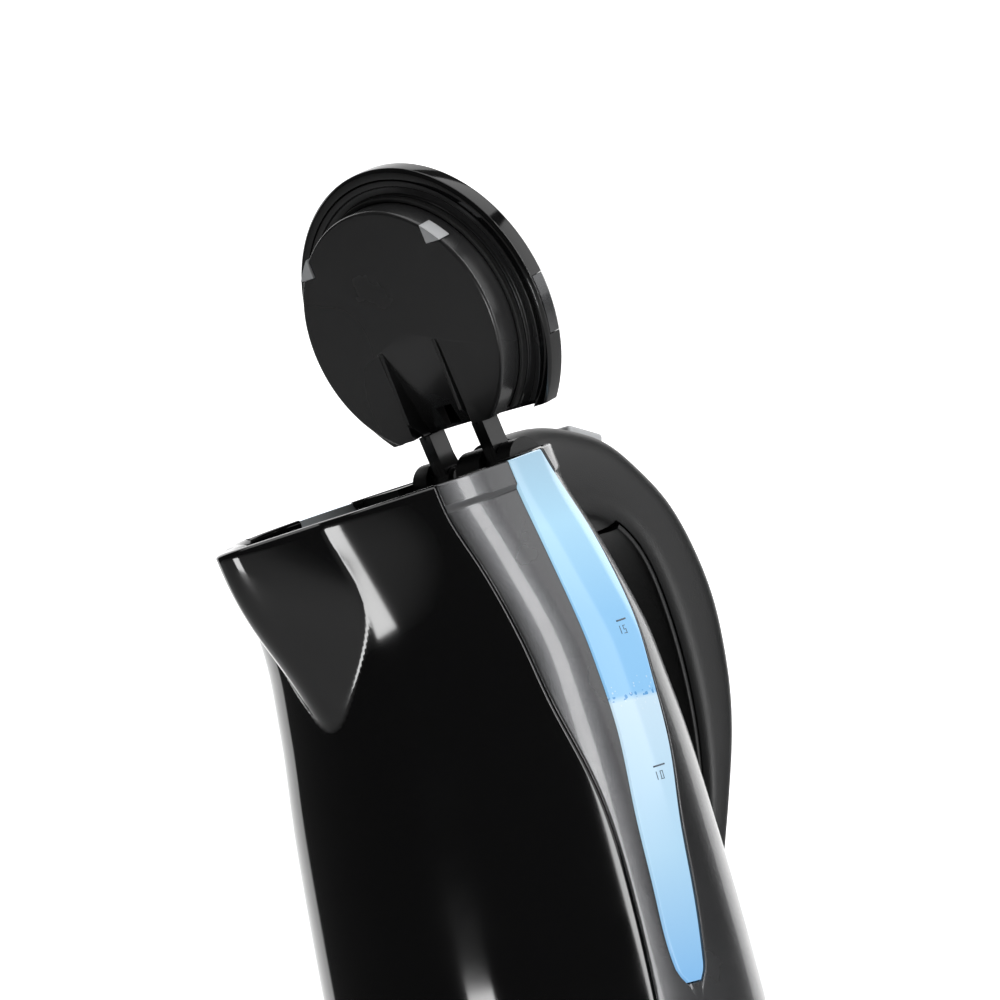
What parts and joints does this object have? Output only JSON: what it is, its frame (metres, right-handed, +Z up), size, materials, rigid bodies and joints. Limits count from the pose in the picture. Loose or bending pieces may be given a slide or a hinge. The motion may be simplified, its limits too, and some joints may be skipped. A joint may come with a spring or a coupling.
{
  "type": "electric kettle",
  "caption": "Cordless jug kettle with beaked spout, flip lid, loop handle, side water windows and a round power base it lifts off and swivels on.",
  "frame": {"origin": "on the connector axis, in the plane the power base stands on", "axes": "+Z up; the spout points to -X and the handle to +X"},
  "size_m": [0.2127, 0.154, 0.344],
  "materials": {
    "gloss_black": "polished black moulding",
    "satin_black": "fine satin grain",
    "silver_panel": "smoke silver metallic lacquer on plastic",
    "window_blue": "clear plastic lit blue from below",
    "light_grey": "satin",
    "steel": "plain",
    "brass": "plain",
    "rubber": "matte",
    "white_plastic": "plain moulding"
  },
  "bodies": {
    "base": {"base_shell": "gloss_black", "base_plate": "satin_black", "base_connector": "satin_black", "earth_pin": "brass", "contact_ring": "brass", "terminal_block": "white_plastic", "cord_clamp": "satin_black", "rubber_foot_1": "rubber", "rubber_foot_2": "rubber", "rubber_foot_3": "rubber", "base_screw_1": "steel", "base_screw_2": "steel", "base_screw_3": "steel"},
    "socket": {"connector_socket": "satin_black"},
    "jug": {"jug_body": "gloss_black", "side_panel_right": "silver_panel", "side_panel_left": "silver_panel", "water_window_right": "window_blue", "water_window_left": "window_blue", "spout_filter_frame": "satin_black", "spout_filter_mesh": "steel", "hinge_housing": "satin_black", "hinge_pin": "steel", "lid_spring": "steel", "handle_shell": "satin_black", "handle_grip_cover": "satin_black", "release_spring": "steel", "switch_pin": "steel", "plate_seal": "rubber", "heating_plate": "steel", "heating_element": "steel", "thermostat_control": "white_plastic", "boil_dry_disc": "brass", "jug_base_cover": "satin_black", "jug_cover_screw_1": "steel", "jug_cover_screw_2": "steel", "jug_cover_screw_3": "steel", "steam_switch": "white_plastic", "indicator_light_left": "window_blue", "indicator_light_right": "window_blue", "steam_tube": "white_plastic"},
    "lid": {"lid_cover": "gloss_black", "lid_trim": "silver_panel", "lid_drum": "gloss_black", "lid_snap_tab_left": "light_grey", "lid_snap_tab_right": "light_grey", "lid_seal": "rubber", "lid_hinge_arm_left": "gloss_black", "lid_hinge_arm_right": "gloss_black"},
    "release_button": {"release_button": "light_grey"},
    "catch": {"lid_catch": "satin_black"},
    "lever": {"switch_lever": "satin_black"}
  },
  "joints": [
    {"name": "base_lift", "type": "slide", "parent": "base", "child": "socket", "axis": [0, 0, 1], "range_m": [0, 0.06]},
    {"name": "base_swivel", "type": "hinge", "parent": "socket", "child": "jug", "pos_m": [0, 0, 0.03], "axis": [0, 0, 1], "continuous": true},
    {"name": "lid_hinge", "type": "hinge", "parent": "jug", "child": "lid", "pos_m": [0.028, 0, 0.236], "axis": [0, 1, 0], "range_deg": [-83, 0], "stiffness_Nm_per_rad": 0.04, "springref_deg": 45.84},
    {"name": "release_press", "type": "slide", "parent": "jug", "child": "release_button", "axis": [-0.342, 0, -0.9397], "range_m": [0, 0.003], "stiffness_N_per_m": 600, "deforming": ["release_spring"]},
    {"name": "catch_slide", "type": "slide", "parent": "jug", "child": "catch", "axis": [1, 0, 0], "range_m": [0, 0.003]},
    {"name": "switch_rock", "type": "hinge", "parent": "jug", "child": "lever", "pos_m": [0.058, 0, 0.034], "axis": [0, 1, 0], "range_deg": [0, 8]}
  ],
  "couplings": [
    {"joint": "catch_slide", "follows": "release_press", "ratio": 1}
  ]
}
